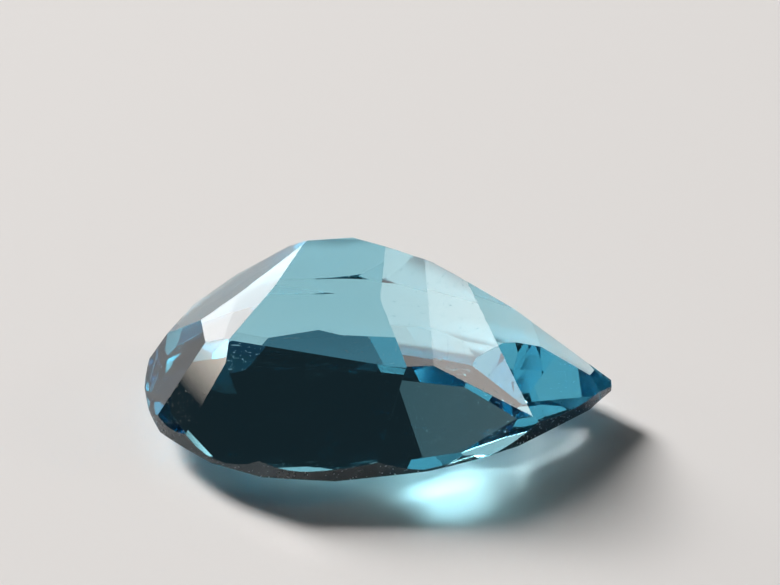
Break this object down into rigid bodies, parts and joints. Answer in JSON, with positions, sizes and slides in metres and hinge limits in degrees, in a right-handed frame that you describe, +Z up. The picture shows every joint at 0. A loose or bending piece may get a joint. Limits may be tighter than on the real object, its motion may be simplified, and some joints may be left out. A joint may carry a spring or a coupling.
{
  "type": "faceted gemstone",
  "caption": "Loose pear-cut topaz, a clear pale blue faceted stone that lies on its flat table with the pavilion up.",
  "frame": {"origin": "under the middle of the stone's bounding box, on the plane of the table that it rests on", "axes": "+X along the stone from the round end to the tip, +Z up from the table to the keel of the pavilion"},
  "size_m": [0.0203, 0.013, 0.0091],
  "materials": {
    "topaz": "polished"
  },
  "bodies": {
    "root": {"topaz": "topaz"}
  },
  "joints": []
}
